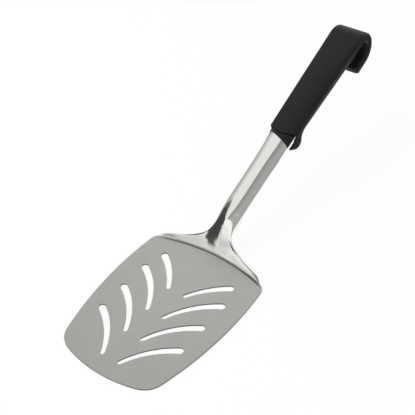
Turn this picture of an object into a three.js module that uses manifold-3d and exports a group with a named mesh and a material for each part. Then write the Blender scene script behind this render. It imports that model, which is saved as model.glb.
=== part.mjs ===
// Slotted spatula: a pressed steel blade, a flattened tube shank and a moulded hook handle.
// Millimetres, +Z up. The blade lies on Z = 0, its width along X, and the handle leaves along +Y.
import * as THREE from "three";
import { mergeVertices } from "three/addons/utils/BufferGeometryUtils.js";
import Module from "manifold-3d";

const wasm = await Module();
wasm.setup();

// Sheet and fits
const SHEET = 1.2; // gauge of the blade's steel
const TUBE_WALL = 1.2;
const SEAT_GAP = 0.3; // left between pieces that seat in each other

// Blade outline: four bowed sides with round corners
const BLADE_WIDTH = 100;
const BLADE_FRONT_Y = -65.7; // middle of the front edge
const BLADE_WIDEST_Y = 20;
const FRONT_BOW_RADIUS = 100;
const SIDE_BOW_RADIUS = 263;
const FRONT_CORNER = 9; // how far a front corner's round reaches along its sides
const REAR_CORNER = 4;
const BEND_Y = 59.3; // middle of the line where the blade turns up
const BEND_BOW_RADIUS = 145;
const BEND_HEEL = 1.3; // sheet behind the bend line, the outside of the fold

// Slots: mirrored pairs, each wide at its outer end
const SLOT_PAIRS = 4;
const SLOT_FIRST_Y = -51.7;
const SLOT_PITCH = 22.9;
const SLOT_INNER_X = 7.4;
const SLOT_REACH = new THREE.Vector2(26.3, 29.3);
const LAST_SLOT_REACH = new THREE.Vector2(21.6, 22.9);
const SLOT_BOW = 3.1;
const LAST_SLOT_BOW = 1.8;
const SLOT_INNER_RADIUS = 1.55;
const SLOT_OUTER_RADIUS = 2.6;

// Shank: a flattened tube that climbs from the neck
const SHANK_ANGLE = 22.2; // degrees above the blade
const NECK_TOP_Y = 83.7; // where the tube's axis starts
const NECK_TOP_Z = 24.3;
const SHANK_HALF_WIDTH = 9;
const SHANK_HALF_THICKNESS = 4.1;
const SHANK_FLAT = 3.2; // half width of its flat top
const SHANK_LENGTH = 118; // neck to the tube's end inside the handle

// Neck: the free edge of the turned-up shoulder as X, distance behind the bend line and height
const SHOULDER_TIP_X = 45.6;
const EDGE_NEAR_TIP = new THREE.Vector3(40, 3, 5.4);
const EDGE_MIDDLE = new THREE.Vector3(22.8, 4.3, 8.2);
const EDGE_NEAR_NECK = new THREE.Vector3(13, 6.3, 9.4);
const EDGE_CLIMB = new THREE.Vector3(9, 10, 13);
const NECK_HALF_WIDTH = 8.4;
const NECK_SKIRT = 4; // walls of the neck below the tube's axis
const NECK_STEEPNESS = 72; // degrees at the bend, on the centre line

// Handle, along the shank's axis from the neck
const MOUTH = 69; // front of the brow over the shank
const HOOK_CENTRE = 166;
const HANDLE_FRONT_WIDTH = 23;
const HANDLE_REAR_WIDTH = 27;
const BROW_TOP = 4.2; // top edges above the axis at the front
const STRAP_TOP = 3.4; // and at the hook
const HANDLE_CROWN = 2; // how much higher the middle of the top is
const SIDE_FRONT = 2.9; // lower edges of the sides below the axis at the front
const SIDE_REAR = 5.8; // and before the hook
const BELLY = 6.4; // middle of the underside below the axis, round the tube
const EDGE_ROUND = 2.4;
const BROW_ROUND = 4.2; // how far the brow's corners fall back
const STRAP = 7.6; // thickness of the hook
const HOOK_RADIUS = 14.7; // outside
const HOOK_LEG = 10; // straight end beyond the bend

// Finger guard: two ears beside the shank, open below it
const GUARD_DEPTH = 11.8; // below the axis
const GUARD_TIP = 61.2; // corner of the rounded front tips
const GUARD_TIP_DROP = 1.8; // the tips' upper edge below the axis
const GUARD_CHIN = 69.5; // corner between the front and the bottom
const GUARD_HEEL = 77.7; // rear of an ear, half way up
const GUARD_LEAN = 1.4; // its slope to either side of there
const GUARD_BACK = 85; // where the guard runs out into the side
const GUARD_WIDTH = 22.6;
const GUARD_ROUND = 2.2;
const NOTCH_BACK = 78.5;

// Sleeve that seals the shank in the handle's mouth, and the hidden pin
const SLEEVE_WALL = 0.6;
const SLEEVE_FRONT = 66; // on the axis
const SLEEVE_SLANT = 18; // degrees, the underside further forward
const SLEEVE_LENGTH = 14;
const PIN_RADIUS = 2;
const PIN_FROM_MOUTH = 34;

// Facets
const ARC_STEPS = 10;
const ROUND_STEPS = 4;
const CROWN_STEPS = 6;
const GRIP_STEPS = 16;
const HOOK_STEPS = 20;
const SHOULDER_COLUMNS = 44;
const SHOULDER_ROWS = 14;

function finish(color, metalness, roughness) {
  return new THREE.MeshStandardMaterial({ color, metalness, roughness });
}

const steel = (roughness) => finish(0xb4b3b0, 1, roughness);
const blackPlastic = (roughness) => finish(0x1d1c1d, 0, roughness);

// Solids and geometries
function toSolid(geometry) {
  const bare = geometry.clone();
  bare.deleteAttribute("normal");
  bare.deleteAttribute("uv");
  const merged = mergeVertices(bare, 1e-4);
  const corners = merged.index.array;
  const triangles = [];
  for (let i = 0; i < corners.length; i += 3) {
    const face = [corners[i], corners[i + 1], corners[i + 2]];
    if (new Set(face).size === 3) triangles.push(...face);
  }
  return new wasm.Manifold(new wasm.Mesh({
    numProp: 3,
    vertProperties: new Float32Array(merged.attributes.position.array),
    triVerts: new Uint32Array(triangles),
  }));
}

function toGeometry(solid) {
  const mesh = solid.getMesh();
  const geometry = new THREE.BufferGeometry();
  geometry.setAttribute("position", new THREE.BufferAttribute(new Float32Array(mesh.vertProperties), 3));
  geometry.setIndex(new THREE.BufferAttribute(new Uint32Array(mesh.triVerts), 1));
  geometry.computeVertexNormals();
  return geometry;
}

// Extrudes a section drawn in X and Z along +Y
function alongY(shape, start, length) {
  const geometry = new THREE.ExtrudeGeometry(shape, {
    depth: length, bevelEnabled: false, curveSegments: ARC_STEPS,
  });
  return geometry.rotateX(Math.PI / 2).translate(0, start + length, 0);
}

function box(low, high) {
  const size = new THREE.Vector3().subVectors(high, low);
  const middle = new THREE.Vector3().addVectors(low, high).multiplyScalar(0.5);
  return new THREE.BoxGeometry(size.x, size.y, size.z).translate(middle.x, middle.y, middle.z);
}

// Blade
const frontY = (x) => BLADE_FRONT_Y + (x * x) / (2 * FRONT_BOW_RADIUS);
const sideX = (y) => BLADE_WIDTH / 2 - (y - BLADE_WIDEST_Y) ** 2 / (2 * SIDE_BOW_RADIUS);
const bendY = (x) => BEND_Y - (x * x) / (2 * BEND_BOW_RADIUS);
const heelY = (x) => bendY(x) + BEND_HEEL;

// The corner where a bowed end meets a bowed side
function cornerOf(endY) {
  let y = endY(BLADE_WIDTH / 2);
  for (let i = 0; i < ARC_STEPS; i += 1) {
    y = endY(sideX(y));
  }
  return new THREE.Vector2(sideX(y), y);
}

function bladeOutline() {
  const front = cornerOf(frontY);
  const rear = cornerOf(heelY);
  const frontX = front.x - FRONT_CORNER;
  const rearX = rear.x - REAR_CORNER;
  const low = front.y + FRONT_CORNER;
  const high = rear.y - REAR_CORNER;
  const shape = new THREE.Shape();
  const follow = (from, to, place) => {
    for (let i = 1; i <= ARC_STEPS; i += 1) {
      shape.lineTo(...place(THREE.MathUtils.lerp(from, to, i / ARC_STEPS)));
    }
  };
  shape.moveTo(-frontX, frontY(frontX));
  follow(-frontX, frontX, (x) => [x, frontY(x)]);
  shape.quadraticCurveTo(front.x, front.y, sideX(low), low);
  follow(low, high, (y) => [sideX(y), y]);
  shape.quadraticCurveTo(rear.x, rear.y, rearX, heelY(rearX));
  follow(rearX, -rearX, (x) => [x, heelY(x)]);
  shape.quadraticCurveTo(-rear.x, rear.y, -sideX(high), high);
  follow(high, low, (y) => [-sideX(y), y]);
  shape.quadraticCurveTo(-front.x, front.y, -frontX, frontY(frontX));
  return shape;
}

// One slot: a bowed centre line with a radius that grows outwards, closed by round ends
function slotPath(pair, side) {
  const last = pair === SLOT_PAIRS - 1;
  const reach = last ? LAST_SLOT_REACH : SLOT_REACH;
  const bow = last ? LAST_SLOT_BOW : SLOT_BOW;
  const inner = new THREE.Vector2(SLOT_INNER_X, SLOT_FIRST_Y + pair * SLOT_PITCH);
  const outer = inner.clone().add(reach);
  const away = new THREE.Vector2(-reach.y, reach.x).normalize();
  const knee = inner.clone().add(outer).multiplyScalar(0.5).addScaledVector(away, 2 * bow);
  const line = new THREE.QuadraticBezierCurve(inner, knee, outer);
  const rim = (t, turn) => {
    const radius = THREE.MathUtils.lerp(SLOT_INNER_RADIUS, SLOT_OUTER_RADIUS, t);
    const ahead = line.getTangent(t).rotateAround(new THREE.Vector2(), turn);
    return line.getPoint(t).addScaledVector(ahead, radius);
  };
  const quarter = Math.PI / 2;
  const points = [];
  const follow = (place) => {
    for (let i = 0; i < ARC_STEPS; i += 1) {
      points.push(place(i / ARC_STEPS));
    }
  };
  follow((t) => rim(t, -quarter));
  follow((t) => rim(1, Math.PI * t - quarter));
  follow((t) => rim(1 - t, quarter));
  follow((t) => rim(0, Math.PI * t + quarter));
  return new THREE.Path(points.map((p) => new THREE.Vector2(side * p.x, p.y)));
}

function bladePlate() {
  const shape = bladeOutline();
  for (let pair = 0; pair < SLOT_PAIRS; pair += 1) {
    shape.holes.push(slotPath(pair, 1), slotPath(pair, -1));
  }
  return new THREE.ExtrudeGeometry(shape, { depth: SHEET, bevelEnabled: false, curveSegments: ARC_STEPS });
}

// Shoulder and neck: one patch between the bend line, the free edges and the tube's end
const tilt = THREE.MathUtils.degToRad(SHANK_ANGLE);
const axisStart = new THREE.Vector3(0, NECK_TOP_Y, NECK_TOP_Z);
const axisAhead = new THREE.Vector3(0, Math.cos(tilt), Math.sin(tilt));
const axisUp = new THREE.Vector3(0, -Math.sin(tilt), Math.cos(tilt));
const onSection = (x, up) => axisStart.clone().addScaledVector(axisUp, up).add(new THREE.Vector3(x, 0, 0));

// The patch starts half way down in the plate, so that the two join
const bendPoint = (u) => new THREE.Vector3(u * SHOULDER_TIP_X, bendY(u * SHOULDER_TIP_X), SHEET / 2);

function centreLine() {
  const start = bendPoint(0);
  const end = onSection(0, SHANK_HALF_THICKNESS);
  const pull = start.distanceTo(end) / 3;
  const steep = THREE.MathUtils.degToRad(NECK_STEEPNESS);
  const climb = new THREE.Vector3(0, Math.cos(steep), Math.sin(steep));
  const rise = start.clone().addScaledVector(climb, pull);
  return new THREE.CubicBezierCurve3(start, rise, end.clone().addScaledVector(axisAhead, -pull), end);
}

function freeEdge() {
  const behindBend = (p) => new THREE.Vector3(p.x, bendY(p.x) + p.y, p.z);
  const between = [EDGE_NEAR_TIP, EDGE_MIDDLE, EDGE_NEAR_NECK, EDGE_CLIMB].map(behindBend);
  return new THREE.CatmullRomCurve3([bendPoint(1), ...between, onSection(NECK_HALF_WIDTH, -NECK_SKIRT)]);
}

// Half of the tube's section, from the middle of its top round to the foot of the neck's wall
function neckSection() {
  const path = new THREE.CurvePath();
  const flat = onSection(SHANK_FLAT, SHANK_HALF_THICKNESS);
  const corner = onSection(SHANK_HALF_WIDTH, SHANK_HALF_THICKNESS);
  const flank = onSection(SHANK_HALF_WIDTH, 0);
  path.add(new THREE.LineCurve3(onSection(0, SHANK_HALF_THICKNESS), flat));
  path.add(new THREE.QuadraticBezierCurve3(flat, corner, flank));
  path.add(new THREE.LineCurve3(flank, onSection(NECK_HALF_WIDTH, -NECK_SKIRT)));
  return path;
}

function shoulderSurface() {
  const centre = centreLine();
  const edge = freeEdge();
  const section = neckSection();
  const corners = [bendPoint(0), bendPoint(1), section.getPointAt(0), section.getPointAt(1)];
  return (u, v) => {
    const across = Math.abs(u);
    const point = new THREE.Vector3();
    point.addScaledVector(bendPoint(across), 1 - v).addScaledVector(section.getPointAt(across), v);
    point.addScaledVector(centre.getPointAt(v), 1 - across).addScaledVector(edge.getPointAt(v), across);
    point.addScaledVector(corners[0], -(1 - across) * (1 - v));
    point.addScaledVector(corners[1], -across * (1 - v));
    point.addScaledVector(corners[2], -(1 - across) * v);
    point.addScaledVector(corners[3], -across * v);
    point.x *= Math.sign(u);
    return point;
  };
}

function shoulderSheet() {
  const surface = shoulderSurface();
  const small = 1e-3;
  const under = (u, v) => {
    const acrossStep = surface(Math.min(u + small, 1), v).sub(surface(Math.max(u - small, -1), v));
    const upStep = surface(u, Math.min(v + small, 1)).sub(surface(u, Math.max(v - small, 0)));
    return surface(u, v).addScaledVector(acrossStep.cross(upStep).normalize(), -SHEET);
  };
  const columns = SHOULDER_COLUMNS + 1;
  const layer = columns * (SHOULDER_ROWS + 1);
  const positions = [];
  for (const place of [surface, under]) {
    for (let row = 0; row <= SHOULDER_ROWS; row += 1) {
      for (let column = 0; column <= SHOULDER_COLUMNS; column += 1) {
        positions.push(...place((2 * column) / SHOULDER_COLUMNS - 1, row / SHOULDER_ROWS).toArray());
      }
    }
  }
  const index = [];
  const quad = (a, b, c, d) => index.push(a, b, c, a, c, d);
  const at = (row, column) => row * columns + column;
  for (let row = 0; row < SHOULDER_ROWS; row += 1) {
    for (let column = 0; column < SHOULDER_COLUMNS; column += 1) {
      const ring = [at(row, column), at(row, column + 1), at(row + 1, column + 1), at(row + 1, column)];
      quad(...ring);
      quad(...ring.map((i) => i + layer).reverse());
    }
    quad(at(row, 0), at(row + 1, 0), at(row + 1, 0) + layer, at(row, 0) + layer);
    const right = [at(row, SHOULDER_COLUMNS), at(row + 1, SHOULDER_COLUMNS)];
    quad(right[1], right[0], right[0] + layer, right[1] + layer);
  }
  for (let column = 0; column < SHOULDER_COLUMNS; column += 1) {
    quad(column + 1, column, column + layer, column + 1 + layer);
    const top = [at(SHOULDER_ROWS, column), at(SHOULDER_ROWS, column + 1)];
    quad(top[0], top[1], top[1] + layer, top[0] + layer);
  }
  const geometry = new THREE.BufferGeometry();
  geometry.setAttribute("position", new THREE.Float32BufferAttribute(positions, 3));
  geometry.setIndex(index);
  return geometry;
}

function makeBlade() {
  const solid = toSolid(bladePlate()).add(toSolid(shoulderSheet()));
  const mesh = new THREE.Mesh(toGeometry(solid), steel(0.4));
  mesh.name = "blade";
  return mesh;
}

// Shank and the pieces on its axis, drawn with the axis along +Y from the neck
function flatOval(grow) {
  const flat = SHANK_FLAT;
  const end = SHANK_HALF_WIDTH + grow - flat;
  const half = SHANK_HALF_THICKNESS + grow;
  const shape = new THREE.Shape();
  shape.moveTo(-flat, -half);
  shape.lineTo(flat, -half);
  shape.absellipse(flat, 0, end, half, -Math.PI / 2, Math.PI / 2);
  shape.lineTo(-flat, half);
  shape.absellipse(-flat, 0, end, half, Math.PI / 2, (3 * Math.PI) / 2);
  return shape;
}

function pinHole(radius) {
  const length = 2 * GUARD_DEPTH;
  const bore = new THREE.CylinderGeometry(radius, radius, length, 4 * ARC_STEPS);
  return bore.rotateX(Math.PI / 2).translate(0, MOUTH + PIN_FROM_MOUTH, -length / 2);
}

function makeShank() {
  const outer = toSolid(alongY(flatOval(0), SEAT_GAP, SHANK_LENGTH - SEAT_GAP));
  const bore = toSolid(alongY(flatOval(-TUBE_WALL), -SHANK_LENGTH, 3 * SHANK_LENGTH));
  const solid = outer.subtract(bore).subtract(toSolid(pinHole(PIN_RADIUS + SEAT_GAP)));
  const mesh = new THREE.Mesh(toGeometry(solid), steel(0.15));
  mesh.name = "shank_tube";
  return mesh;
}

function makeSleeve() {
  const reach = SLEEVE_LENGTH / 2;
  const section = flatOval(SEAT_GAP + SLEEVE_WALL);
  const outer = toSolid(alongY(section, SLEEVE_FRONT - reach, SLEEVE_LENGTH + reach));
  const bore = toSolid(alongY(flatOval(SEAT_GAP), 0, SHANK_LENGTH));
  const wide = 4 * SHANK_HALF_WIDTH;
  const blunt = box(new THREE.Vector3(-wide, -wide, -wide), new THREE.Vector3(wide, 0, wide));
  blunt.rotateX(-THREE.MathUtils.degToRad(SLEEVE_SLANT)).translate(0, SLEEVE_FRONT, 0);
  const solid = outer.subtract(bore).subtract(toSolid(blunt));
  const mesh = new THREE.Mesh(toGeometry(solid), blackPlastic(0.5));
  mesh.name = "shank_sleeve";
  return mesh;
}

function makePin() {
  const top = -SHANK_HALF_THICKNESS + 2 * TUBE_WALL;
  const foot = -BELLY + SEAT_GAP;
  const pin = new THREE.CylinderGeometry(PIN_RADIUS, PIN_RADIUS, top - foot, 4 * ARC_STEPS);
  pin.rotateX(Math.PI / 2).translate(0, MOUTH + PIN_FROM_MOUTH, (top + foot) / 2);
  const mesh = new THREE.Mesh(toGeometry(toSolid(pin)), steel(0.3));
  mesh.name = "retaining_pin";
  return mesh;
}

// Handle: rounded sections along the grip and round the hook, joined ring by ring
function gripSection(halfWidth, low, high, crown, keel) {
  const round = Math.min(EDGE_ROUND, (high - low) / 2 - SEAT_GAP);
  const side = halfWidth - round;
  const corners = [[side, high - round], [-side, high - round], [-side, low + round], [side, low + round]];
  const points = [];
  corners.forEach(([x, z], quarter) => {
    for (let i = 0; i <= ROUND_STEPS; i += 1) {
      const turn = ((quarter + i / ROUND_STEPS) * Math.PI) / 2;
      points.push([x + round * Math.cos(turn), z + round * Math.sin(turn)]);
    }
    if (quarter % 2 > 0) return;
    for (let i = 1; i < CROWN_STEPS; i += 1) {
      points.push([THREE.MathUtils.lerp(x, -x, i / CROWN_STEPS), quarter === 0 ? high : low]);
    }
  });
  const middle = (low + high) / 2;
  return points.map(([x, z]) => [x, z + (z > middle ? crown : -keel) * (1 - (x / halfWidth) ** 2)]);
}

function gripRing(y) {
  const { lerp, smoothstep } = THREE.MathUtils;
  const along = (y - MOUTH) / (HOOK_CENTRE - MOUTH);
  const halfWidth = lerp(HANDLE_FRONT_WIDTH, HANDLE_REAR_WIDTH, along) / 2;
  const top = lerp(BROW_TOP, STRAP_TOP, along);
  const side = lerp(SIDE_FRONT, SIDE_REAR, along);
  const low = lerp(-side, STRAP_TOP - STRAP, smoothstep(y, HOOK_CENTRE - HOOK_RADIUS, HOOK_CENTRE));
  const round = 1 - smoothstep(y, SHANK_LENGTH, HOOK_CENTRE);
  const fall = BROW_ROUND * Math.exp((MOUTH - y) / BROW_ROUND);
  const section = gripSection(halfWidth, low, top, HANDLE_CROWN * round, (BELLY - side) * round);
  return section.map(([x, z]) => [x, y + fall * (x / halfWidth) ** 2, z]);
}

function hookRing(turn, advance, inset) {
  const hookZ = STRAP_TOP - HOOK_RADIUS;
  const middle = STRAP_TOP - STRAP / 2;
  const half = STRAP / 2 - inset;
  const halfWidth = HANDLE_REAR_WIDTH / 2 - inset;
  return gripSection(halfWidth, middle - half, middle + half, 0, 0).map(([x, z]) => {
    const radius = z - hookZ;
    const y = HOOK_CENTRE + radius * Math.sin(turn) + advance * Math.cos(turn);
    return [x, y, hookZ + radius * Math.cos(turn) - advance * Math.sin(turn)];
  });
}

function gripRings() {
  const rings = [];
  for (let i = 0; i < GRIP_STEPS; i += 1) {
    rings.push(gripRing(THREE.MathUtils.lerp(MOUTH, HOOK_CENTRE, (i / GRIP_STEPS) ** 2)));
  }
  for (let i = 0; i <= HOOK_STEPS; i += 1) {
    rings.push(hookRing((Math.PI * i) / HOOK_STEPS, 0, 0));
  }
  for (let i = 0; i <= ROUND_STEPS; i += 1) {
    const bend = (i / ROUND_STEPS) * (Math.PI / 2);
    rings.push(hookRing(Math.PI, HOOK_LEG + EDGE_ROUND * Math.sin(bend), EDGE_ROUND * (1 - Math.cos(bend))));
  }
  return rings;
}

function middleOf(points) {
  const sums = points.reduce((total, point) => total.map((value, axis) => value + point[axis]));
  return sums.map((value) => value / points.length);
}

function loft(rings) {
  const count = rings[0].length;
  const index = [];
  for (let ring = 0; ring + 1 < rings.length; ring += 1) {
    for (let i = 0; i < count; i += 1) {
      const a = ring * count + i;
      const b = ring * count + ((i + 1) % count);
      index.push(a, b + count, b, a, a + count, b + count);
    }
  }
  const end = (rings.length - 1) * count;
  const hubs = rings.length * count;
  for (let i = 0; i < count; i += 1) {
    const next = (i + 1) % count;
    index.push(hubs, i, next, hubs + 1, end + next, end + i);
  }
  const middles = [rings[0], rings[rings.length - 1]].map(middleOf);
  const geometry = new THREE.BufferGeometry();
  geometry.setAttribute("position", new THREE.Float32BufferAttribute([...rings, middles].flat(2), 3));
  geometry.setIndex(index);
  return geometry;
}

// Finger guard, across the whole width until the notch opens it
function guardBlock() {
  const tip = new THREE.Vector2(GUARD_TIP, -GUARD_TIP_DROP);
  const chin = new THREE.Vector2(GUARD_CHIN, -GUARD_DEPTH);
  const brow = tip.clone().setX(MOUTH);
  const cheek = tip.clone().lerp(chin, 1 / 4);
  const jaw = tip.clone().lerp(chin, 3 / 4);
  const nape = new THREE.Vector2(GUARD_HEEL + GUARD_LEAN, cheek.y);
  const heel = new THREE.Vector2(GUARD_HEEL - GUARD_LEAN, -GUARD_DEPTH);
  const bottom = chin.clone().lerp(heel, 1 / 2);
  const rear = nape.clone().lerp(heel, 1 / 2);
  const shelf = tip.clone().lerp(brow, 1 / 4);
  const shape = new THREE.Shape();
  shape.moveTo(GUARD_BACK, -SIDE_FRONT);
  shape.lineTo(GUARD_BACK, 0);
  shape.lineTo(MOUTH + GUARD_TIP_DROP, 0);
  shape.lineTo(brow.x, brow.y);
  shape.lineTo(shelf.x, shelf.y);
  shape.quadraticCurveTo(tip.x, tip.y, cheek.x, cheek.y);
  shape.lineTo(jaw.x, jaw.y);
  shape.quadraticCurveTo(chin.x, chin.y, bottom.x, bottom.y);
  shape.quadraticCurveTo(heel.x, heel.y, rear.x, rear.y);
  shape.quadraticCurveTo(nape.x, nape.y, GUARD_BACK, -SIDE_FRONT);
  const outline = shape.getPoints(ARC_STEPS).slice(0, -1);
  const [middleY, middleZ] = middleOf(outline.map((p) => [p.x, p.y]));
  const reach = (GUARD_BACK - GUARD_TIP) / 2;
  const ringAt = (x, inset) => {
    const keep = 1 - inset / reach;
    return outline.map((p) => [x, middleY + keep * (p.x - middleY), middleZ + keep * (p.y - middleZ)]);
  };
  const rings = [];
  for (let i = 0; i <= ROUND_STEPS; i += 1) {
    const turn = ((i / ROUND_STEPS) * Math.PI) / 2;
    const x = GUARD_WIDTH / 2 - GUARD_ROUND * (1 - Math.sin(turn));
    rings.push(ringAt(x, GUARD_ROUND * (1 - Math.cos(turn))));
  }
  const inward = rings.map((ring) => ring.map(([x, y, z]) => [-x, y, z]));
  return loft([...rings.slice().reverse(), ...inward]);
}

function makeHandle() {
  const earInner = SHANK_HALF_WIDTH + 2 * SEAT_GAP + SLEEVE_WALL;
  const notch = box(
    new THREE.Vector3(-earInner, 0, -2 * GUARD_DEPTH),
    new THREE.Vector3(earInner, NOTCH_BACK, SHANK_HALF_THICKNESS),
  );
  const seat = alongY(flatOval(2 * SEAT_GAP + SLEEVE_WALL), 0, SLEEVE_FRONT + SLEEVE_LENGTH + SEAT_GAP);
  const socket = alongY(flatOval(SEAT_GAP), 0, SHANK_LENGTH + SEAT_GAP);
  const cuts = [notch, seat, socket, pinHole(PIN_RADIUS + SEAT_GAP)];
  const whole = toSolid(loft(gripRings())).add(toSolid(guardBlock()));
  const solid = cuts.reduce((body, cut) => body.subtract(toSolid(cut)), whole);
  const mesh = new THREE.Mesh(toGeometry(solid), blackPlastic(0.5));
  mesh.name = "handle";
  return mesh;
}

// The whole spatula
const spatula = new THREE.Group();
const gripLine = new THREE.Group();
gripLine.position.copy(axisStart);
gripLine.rotation.x = tilt;
gripLine.add(makeShank(), makeSleeve(), makeHandle(), makePin());
spatula.add(makeBlade(), gripLine);

export default spatula;
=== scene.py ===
"""Slotted spatula on a white studio floor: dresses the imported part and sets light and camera.

Lengths are millimetres and angles degrees, unless a name or a note says otherwise.
"""

import logging
import math
from collections.abc import Callable
from dataclasses import dataclass, field
from enum import Enum

import bmesh
import bpy
import numpy as np
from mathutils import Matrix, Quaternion, Vector


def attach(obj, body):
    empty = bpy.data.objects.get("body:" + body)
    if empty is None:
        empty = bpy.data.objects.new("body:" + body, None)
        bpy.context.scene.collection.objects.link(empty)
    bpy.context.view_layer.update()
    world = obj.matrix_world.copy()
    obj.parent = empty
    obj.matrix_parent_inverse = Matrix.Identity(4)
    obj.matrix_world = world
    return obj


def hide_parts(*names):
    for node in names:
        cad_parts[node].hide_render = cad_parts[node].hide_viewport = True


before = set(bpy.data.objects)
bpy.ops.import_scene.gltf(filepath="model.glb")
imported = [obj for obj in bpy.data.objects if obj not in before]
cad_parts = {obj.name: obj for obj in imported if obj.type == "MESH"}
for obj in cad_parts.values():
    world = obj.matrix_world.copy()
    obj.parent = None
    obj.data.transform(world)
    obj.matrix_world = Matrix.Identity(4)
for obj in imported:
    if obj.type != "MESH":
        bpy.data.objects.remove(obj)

LOG = logging.getLogger("spatula")
MM = 0.001
BODY = "root"
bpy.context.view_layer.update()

Faces = list[tuple[int, ...]]
Colour = tuple[float, float, float, float]
Outline = tuple[tuple[float, float], ...]


class Slot(Enum):
    """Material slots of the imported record."""

    BLADE = "satin_stainless"
    SHANK = "polished_stainless"
    SLEEVE = "sleeve_plastic"
    GRIP = "grip_plastic"
    PIN = "pin_steel"


def colour(code: str) -> Colour:
    """Turns an sRGB hex colour into the linear colour that sockets take.

    Args:
        code: a colour such as "#a9a9a7".

    Returns:
        Linear red, green, blue and an alpha of 1.
    """
    parts = [int(code[i : i + 2], 16) / 255 for i in (1, 3, 5)]
    red, green, blue = (c / 12.92 if c <= 0.04045 else ((c + 0.055) / 1.055) ** 2.4 for c in parts)
    return (red, green, blue, 1.0)


def add_node(
    tree: bpy.types.NodeTree, kind: str, inputs: dict | None = None, **settings: object
) -> bpy.types.Node:
    """Adds one node to a tree, sets its properties and fills or links its inputs.

    Args:
        tree: the tree that gets the node.
        kind: Blender's name of the node type.
        inputs: input name or number to a value, or to an output socket to link from.
        settings: node properties by name.

    Returns:
        The new node.
    """
    node = tree.nodes.new(kind)
    for name, value in settings.items():
        setattr(node, name, value)
    for name, value in (inputs or {}).items():
        if isinstance(value, bpy.types.NodeSocket):
            tree.links.new(value, node.inputs[name])
        else:
            node.inputs[name].default_value = value
    return node


WHITE = colour("#ffffff")


# Finishes


def new_material(name: str) -> tuple[bpy.types.Material, bpy.types.NodeTree]:
    """Starts a material with an empty node tree.

    Args:
        name: the material's name.

    Returns:
        The material and its tree.
    """
    made = bpy.data.materials.new(name)
    made.use_nodes = True
    made.node_tree.nodes.clear()
    return made, made.node_tree


def end_material(tree: bpy.types.NodeTree, shader: bpy.types.Node) -> None:
    """Ends a material with the shader of its surface.

    Args:
        tree: the material's tree.
        shader: the shader node.
    """
    add_node(tree, "ShaderNodeOutputMaterial", {"Surface": shader.outputs[0]})


@dataclass(frozen=True)
class Grain:
    """Fine unevenness of a surface: its size, its depth and how fast it changes along the blade.

    Belt marks and mould grain are drawn a few times coarser than real ones, which are too fine to show.
    """

    size: float
    depth: float
    strength: float
    detail: float = 1.0
    lengthwise: float = 1.0

    def normal(self, tree: bpy.types.NodeTree, place: bpy.types.NodeSocket) -> bpy.types.NodeSocket:
        """Adds the unevenness to a material.

        Args:
            tree: the material's tree.
            place: the place on the object.

        Returns:
            The uneven normal.
        """
        drawn = {"Vector": place, "Scale": (1.0, self.lengthwise, 1.0)}
        along = add_node(tree, "ShaderNodeMapping", drawn).outputs["Vector"]
        noise = {"Vector": along, "Scale": 1 / (self.size * MM), "Detail": self.detail}
        height = add_node(tree, "ShaderNodeTexNoise", noise).outputs["Fac"]
        bump = {"Height": height, "Strength": self.strength, "Distance": self.depth * MM}
        return add_node(tree, "ShaderNodeBump", bump).outputs["Normal"]


@dataclass(frozen=True)
class Finish:
    """How a material looks: its colour, its shine and its grain."""

    name: str
    base: str
    roughness: float
    grain: Grain
    metallic: float = 1.0
    specular: float = 0.5

    def rough(
        self, tree: bpy.types.NodeTree, place: bpy.types.NodeSocket
    ) -> float | bpy.types.NodeSocket:
        """Gives the roughness, which is the same all over unless a finish varies it.

        Args:
            tree: the material's tree; not used.
            place: the place on the object; not used.

        Returns:
            The roughness, as a number or as a socket.
        """
        return self.roughness

    def material(self) -> bpy.types.Material:
        """Builds the finish.

        Returns:
            The material.
        """
        made, tree = new_material(self.name)
        place = add_node(tree, "ShaderNodeTexCoord").outputs["Object"]
        inputs = {
            "Base Color": colour(self.base),
            "Metallic": self.metallic,
            "Roughness": self.rough(tree, place),
            "Specular IOR Level": self.specular,
            "Normal": self.grain.normal(tree, place),
        }
        end_material(tree, add_node(tree, "ShaderNodeBsdfPrincipled", inputs))
        return made


@dataclass(frozen=True)
class SatinSteel(Finish):
    """Stainless sheet ground with a fine belt: an even grey with a soft, wide reflection."""

    name: str = "stainless_satin_ground"
    base: str = "#b7b6b3"
    roughness: float = 0.36
    grain: Grain = Grain(size=0.25, depth=0.004, strength=0.25, lengthwise=0.06)
    cloud: float = 18.0
    cloud_depth: float = 0.05

    def rough(self, tree: bpy.types.NodeTree, place: bpy.types.NodeSocket) -> bpy.types.NodeSocket:
        """Varies the roughness in broad, faint clouds.

        Args:
            tree: the material's tree.
            place: the place on the object.

        Returns:
            The roughness.
        """
        clouds = add_node(tree, "ShaderNodeTexNoise", {"Vector": place, "Scale": 1 / (self.cloud * MM)})
        spread = {
            "Value": clouds.outputs["Fac"],
            "To Min": self.roughness - self.cloud_depth,
            "To Max": self.roughness + self.cloud_depth,
        }
        return add_node(tree, "ShaderNodeMapRange", spread).outputs["Result"]


@dataclass(frozen=True)
class ShearedSteelAndSeamShade(SatinSteel):
    """The sheet where it was cut: darker and duller. In the seam the same dark steel is painted shade."""

    name: str = "stainless_sheared_and_seam_shade"
    base: str = "#6b6a68"
    roughness: float = 0.5


@dataclass(frozen=True)
class PolishedSteel(Finish):
    """Stainless buffed on a soft wheel: sharp reflections that waver a little along the bar."""

    name: str = "stainless_polished"
    base: str = "#f4f3f0"
    roughness: float = 0.13
    grain: Grain = Grain(size=14.0, depth=0.02, strength=0.3)


@dataclass(frozen=True)
class DrawnSteel(PolishedSteel):
    """Drawn wire, which the pin is cut from: greyer and duller than the polished bar."""

    name: str = "stainless_drawn"
    base: str = "#c4c2be"
    roughness: float = 0.3


@dataclass(frozen=True)
class MouldedPlastic(Finish):
    """Black polypropylene from an eroded mould: matt, with a fine even grain."""

    name: str = "polypropylene_black_moulded"
    base: str = "#1a191b"
    roughness: float = 0.46
    grain: Grain = Grain(size=0.5, depth=0.03, strength=0.35, detail=2.0)
    metallic: float = 0.0
    specular: float = 0.2


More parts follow.
